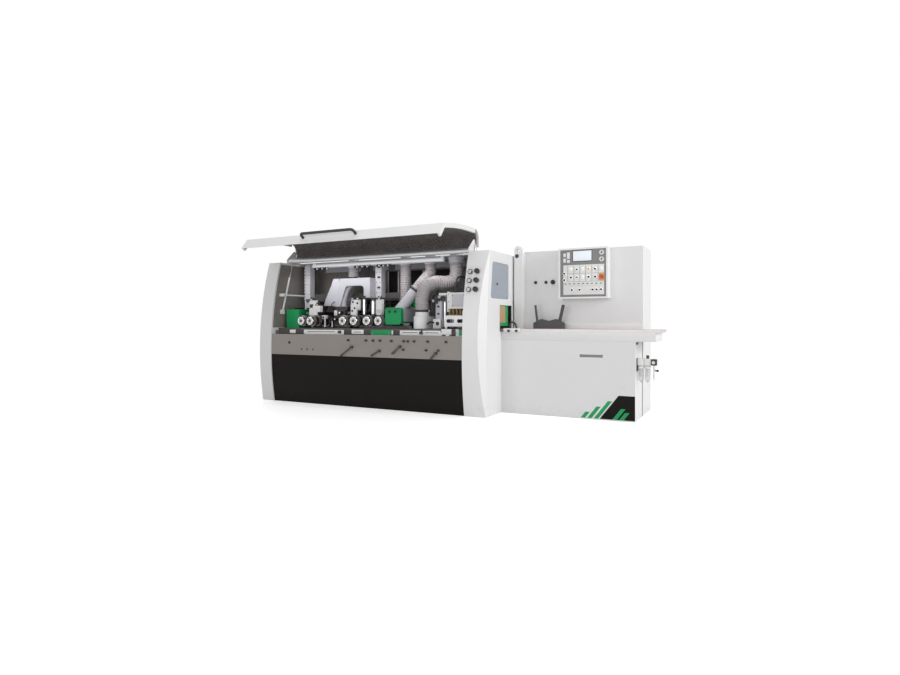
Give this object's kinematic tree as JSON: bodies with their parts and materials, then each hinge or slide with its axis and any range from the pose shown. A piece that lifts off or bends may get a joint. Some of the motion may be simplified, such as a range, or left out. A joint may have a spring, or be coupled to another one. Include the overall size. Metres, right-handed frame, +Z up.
{
  "type": "four sided moulder",
  "caption": "Floor-standing four sided moulder with an arched enclosure, open front hood, driven feed rollers, cutter spindles, ribbed dust hoses, infeed table and electrical cabinet.",
  "frame": {"origin": "on the floor under the bed's middle rib, at the middle of the arched enclosure's length and in the plane of the infeed base's front", "axes": "+X along the machine towards the infeed, +Y to the back, +Z up"},
  "size_m": [4.568, 1.8951, 1.9379],
  "materials": {
    "light_paint": "satin",
    "white_paint": "satin",
    "black_paint": "satin",
    "warm_grey_paint": "satin",
    "dark_paint": "satin",
    "duct_paint": "satin",
    "green_paint": "satin",
    "bed_iron": "painted casting",
    "table_iron": "ground",
    "dark_iron": "cast",
    "plate_steel": "ground",
    "tool_steel": "turned",
    "bright_chrome": "polished",
    "spigot_zinc": "galvanised",
    "tinted_pane": "tinted",
    "foam": "foam",
    "hose_plastic": "ribbed",
    "black_plastic": "matt",
    "pale_plastic": "gloss",
    "red_plastic": "gloss",
    "motor_paint": "satin"
  },
  "bodies": {
    "machine_frame": {"machine_bed": "bed_iron", "bed_plates": "plate_steel", "left_column": "light_paint", "right_tower": "white_paint", "tower_window": "tinted_pane", "lower_panel": "black_paint", "upper_panel": "warm_grey_paint", "panel_adjusters": "tool_steel", "rear_housing": "light_paint", "dust_spigots": "spigot_zinc", "inner_wall": "dark_paint", "work_lamp": "pale_plastic", "feed_beam": "light_paint", "press_cylinders": "bright_chrome", "spindle_units": "motor_paint", "grey_ducts": "duct_paint", "green_hoods": "green_paint", "dust_hoses": "hose_plastic", "fence_guides": "plate_steel", "strut_cylinders": "dark_paint", "infeed_base": "light_paint", "infeed_table": "table_iron", "infeed_guard": "green_paint", "lift_column": "white_paint", "electrical_cabinet": "light_paint", "control_box": "white_paint", "dials": "black_plastic", "fence_bracket": "dark_iron", "air_unit": "pale_plastic"},
    "hood": {"hood_shell": "white_paint", "hood_liner": "foam", "hood_handle": "black_plastic", "hinge_tube": "bright_chrome"},
    "strut_rod_left": {"strut_rod_left": "bright_chrome"},
    "strut_rod_right": {"strut_rod_right": "bright_chrome"},
    "roller_carrier_1": {"roller_carrier_1": "light_paint"},
    "feed_roller_1": {"feed_roller_1": "tool_steel"},
    "feed_roller_2": {"feed_roller_2": "tool_steel"},
    "roller_carrier_2": {"roller_carrier_2": "light_paint"},
    "feed_roller_3": {"feed_roller_3": "tool_steel"},
    "feed_roller_4": {"feed_roller_4": "tool_steel"},
    "roller_carrier_3": {"roller_carrier_3": "light_paint"},
    "feed_roller_5": {"feed_roller_5": "tool_steel"},
    "feed_roller_6": {"feed_roller_6": "tool_steel"},
    "bottom_spindle_1": {"bottom_spindle_1": "tool_steel"},
    "fence_spindle": {"fence_spindle": "tool_steel"},
    "front_spindle": {"front_spindle": "tool_steel"},
    "top_spindle_1": {"top_spindle_1": "tool_steel"},
    "top_spindle_2": {"top_spindle_2": "tool_steel"},
    "bottom_spindle_2": {"bottom_spindle_2": "tool_steel"},
    "clamp_lever_1": {"clamp_lever_1": "dark_iron"},
    "clamp_lever_2": {"clamp_lever_2": "dark_iron"},
    "clamp_lever_3": {"clamp_lever_3": "dark_iron"},
    "clamp_lever_4": {"clamp_lever_4": "dark_iron"},
    "regulator_knob_1": {"regulator_knob_1": "black_plastic"},
    "regulator_knob_2": {"regulator_knob_2": "black_plastic"},
    "regulator_knob_3": {"regulator_knob_3": "black_plastic"},
    "cabinet_door": {"cabinet_door": "light_paint"},
    "e_stop": {"e_stop": "red_plastic"},
    "main_switch": {"main_switch": "black_plastic"}
  },
  "joints": [
    {"name": "hood_swing", "type": "hinge", "parent": "machine_frame", "child": "hood", "pos_m": [0, -0.051, 1.702], "axis": [1, 0, 0], "range_deg": [0, 75]},
    {"name": "strut_rod_left_slide", "type": "slide", "parent": "machine_frame", "child": "strut_rod_left", "axis": [0, 0.2744, 0.9616], "range_m": [-0.0795, 0.0005]},
    {"name": "strut_rod_right_slide", "type": "slide", "parent": "machine_frame", "child": "strut_rod_right", "axis": [0, 0.2744, 0.9616], "range_m": [-0.0795, 0.0005]},
    {"name": "roller_carrier_1_lift", "type": "slide", "parent": "machine_frame", "child": "roller_carrier_1", "axis": [0, 0, 1], "range_m": [0, 0.025]},
    {"name": "feed_roller_1_spin", "type": "hinge", "parent": "roller_carrier_1", "child": "feed_roller_1", "pos_m": [-0.9989, 0, 0.965], "axis": [0, 1, 0], "continuous": true},
    {"name": "feed_roller_2_spin", "type": "hinge", "parent": "roller_carrier_1", "child": "feed_roller_2", "pos_m": [-0.86092, 0, 0.965], "axis": [0, 1, 0], "continuous": true},
    {"name": "roller_carrier_2_lift", "type": "slide", "parent": "machine_frame", "child": "roller_carrier_2", "axis": [0, 0, 1], "range_m": [0, 0.025]},
    {"name": "feed_roller_3_spin", "type": "hinge", "parent": "roller_carrier_2", "child": "feed_roller_3", "pos_m": [-0.37906, 0, 0.965], "axis": [0, 1, 0], "continuous": true},
    {"name": "feed_roller_4_spin", "type": "hinge", "parent": "roller_carrier_2", "child": "feed_roller_4", "pos_m": [-0.22201, 0, 0.965], "axis": [0, 1, 0], "continuous": true},
    {"name": "roller_carrier_3_lift", "type": "slide", "parent": "machine_frame", "child": "roller_carrier_3", "axis": [0, 0, 1], "range_m": [0, 0.025]},
    {"name": "feed_roller_5_spin", "type": "hinge", "parent": "roller_carrier_3", "child": "feed_roller_5", "pos_m": [-0.03993, 0, 0.965], "axis": [0, 1, 0], "continuous": true},
    {"name": "feed_roller_6_spin", "type": "hinge", "parent": "roller_carrier_3", "child": "feed_roller_6", "pos_m": [0.11801, 0, 0.965], "axis": [0, 1, 0], "continuous": true},
    {"name": "bottom_spindle_1_spin", "type": "hinge", "parent": "machine_frame", "child": "bottom_spindle_1", "pos_m": [1.06297, 0, 0.82], "axis": [0, 1, 0], "continuous": true},
    {"name": "fence_spindle_spin", "type": "hinge", "parent": "machine_frame", "child": "fence_spindle", "pos_m": [0.79, 0.27, 0], "axis": [0, 0, 1], "continuous": true},
    {"name": "front_spindle_spin", "type": "hinge", "parent": "machine_frame", "child": "front_spindle", "pos_m": [0.66007, -0.08, 0], "axis": [0, 0, 1], "continuous": true},
    {"name": "top_spindle_1_spin", "type": "hinge", "parent": "machine_frame", "child": "top_spindle_1", "pos_m": [0.32989, 0, 0.9675], "axis": [0, 1, 0], "continuous": true},
    {"name": "top_spindle_2_spin", "type": "hinge", "parent": "machine_frame", "child": "top_spindle_2", "pos_m": [-0.56799, 0, 0.9675], "axis": [0, 1, 0], "continuous": true},
    {"name": "bottom_spindle_2_spin", "type": "hinge", "parent": "machine_frame", "child": "bottom_spindle_2", "pos_m": [-1.15207, 0, 0.82], "axis": [0, 1, 0], "continuous": true},
    {"name": "clamp_lever_1_turn", "type": "hinge", "parent": "machine_frame", "child": "clamp_lever_1", "pos_m": [-0.11086, -0.44561, 0.67497], "axis": [0, -0.9999, 0.0148], "range_deg": [-45, 45]},
    {"name": "clamp_lever_2_turn", "type": "hinge", "parent": "machine_frame", "child": "clamp_lever_2", "pos_m": [0.2539, -0.44595, 0.64002], "axis": [0, -1, 0.005], "range_deg": [-45, 45]},
    {"name": "clamp_lever_3_turn", "type": "hinge", "parent": "machine_frame", "child": "clamp_lever_3", "pos_m": [0.51703, -0.44536, 0.68991], "axis": [0, -0.9998, 0.0189], "range_deg": [-45, 45]},
    {"name": "clamp_lever_4_turn", "type": "hinge", "parent": "machine_frame", "child": "clamp_lever_4", "pos_m": [0.953, -0.44599, 0.63207], "axis": [0, -1, 0.0028], "range_deg": [-45, 45]},
    {"name": "regulator_knob_1_turn", "type": "hinge", "parent": "machine_frame", "child": "regulator_knob_1", "pos_m": [1.382, -0.35884, 1.45992], "axis": [0, -0.9724, 0.2334], "range_deg": [-150, 150]},
    {"name": "regulator_knob_2_turn", "type": "hinge", "parent": "machine_frame", "child": "regulator_knob_2", "pos_m": [1.382, -0.37963, 1.36802], "axis": [0, -0.9782, 0.2078], "range_deg": [-150, 150]},
    {"name": "regulator_knob_3_turn", "type": "hinge", "parent": "machine_frame", "child": "regulator_knob_3", "pos_m": [1.382, -0.39775, 1.27697], "axis": [0, -0.9832, 0.1824], "range_deg": [-150, 150]},
    {"name": "cabinet_door_swing", "type": "hinge", "parent": "machine_frame", "child": "cabinet_door", "pos_m": [2.846, 0.9405, 0], "axis": [0, 0, -1], "range_deg": [0, 110]},
    {"name": "e_stop_press", "type": "slide", "parent": "machine_frame", "child": "e_stop", "axis": [0, 1, 0], "range_m": [0, 0.006], "stiffness_N_per_m": 2000},
    {"name": "main_switch_turn", "type": "hinge", "parent": "machine_frame", "child": "main_switch", "pos_m": [1.915, 0.434, 1.38494], "axis": [0, -1, 0], "range_deg": [0, 90]}
  ],
  "couplings": [
    {"joint": "strut_rod_left_slide", "follows": "hood_swing", "m_per_rad": -0.06026},
    {"joint": "strut_rod_right_slide", "follows": "hood_swing", "m_per_rad": -0.06026},
    {"joint": "feed_roller_2_spin", "follows": "feed_roller_1_spin", "ratio": 1},
    {"joint": "feed_roller_3_spin", "follows": "feed_roller_1_spin", "ratio": 1},
    {"joint": "feed_roller_4_spin", "follows": "feed_roller_1_spin", "ratio": 1},
    {"joint": "feed_roller_5_spin", "follows": "feed_roller_1_spin", "ratio": 1},
    {"joint": "feed_roller_6_spin", "follows": "feed_roller_1_spin", "ratio": 1}
  ]
}
